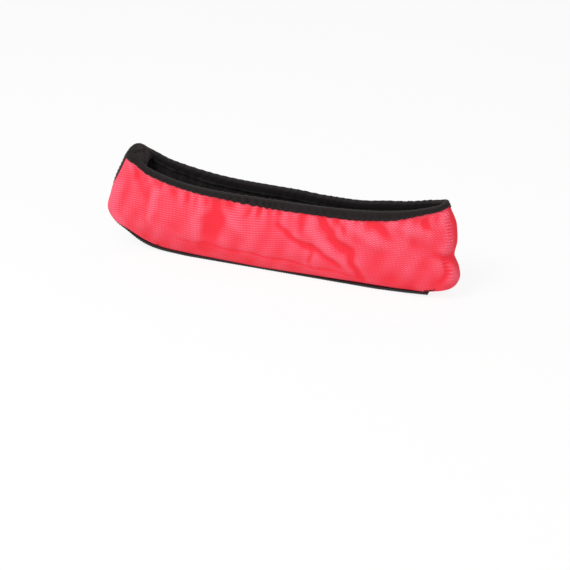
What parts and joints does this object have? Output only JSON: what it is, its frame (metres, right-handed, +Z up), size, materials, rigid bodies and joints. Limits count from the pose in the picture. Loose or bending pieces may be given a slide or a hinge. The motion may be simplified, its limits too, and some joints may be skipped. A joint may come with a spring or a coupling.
{
  "type": "skate blade cover",
  "caption": "Soft open-topped fabric sleeve that a skate blade sits in, with a terry lining, an elastic bound mouth and a ribbed webbing sole that runs up the toe.",
  "frame": {"origin": "on the floor under the middle of the body: the underside of the webbing sole at z = 0", "axes": "+X from toe to heel, +Y across from the front side to the rear side, +Z up out of the mouth"},
  "size_m": [0.2728, 0.0368, 0.0792],
  "materials": {
    "shell": "red woven polyester with a slight sheen",
    "terry": "black looped terry cloth",
    "reinforcement": "plain non-woven strip",
    "webbing": "black cross-ribbed webbing",
    "elastic": "covered elastic",
    "binding": "charcoal stretch binding",
    "dark_thread": "black polyester thread",
    "red_thread": "red polyester thread"
  },
  "bodies": {
    "root": {"front_side_panel": "shell", "rear_side_panel": "shell", "front_lining": "terry", "rear_lining": "terry", "sole_reinforcement": "reinforcement", "sole_webbing": "webbing", "mouth_elastic": "elastic", "mouth_binding": "binding", "binding_outer_stitches": "dark_thread", "binding_inner_stitches": "dark_thread", "webbing_front_stitches": "dark_thread", "webbing_rear_stitches": "dark_thread", "webbing_heel_tack": "dark_thread", "webbing_toe_tack": "dark_thread", "binding_heel_tack": "dark_thread", "reinforcement_front_stitches": "red_thread", "reinforcement_rear_stitches": "red_thread"}
  },
  "joints": []
}
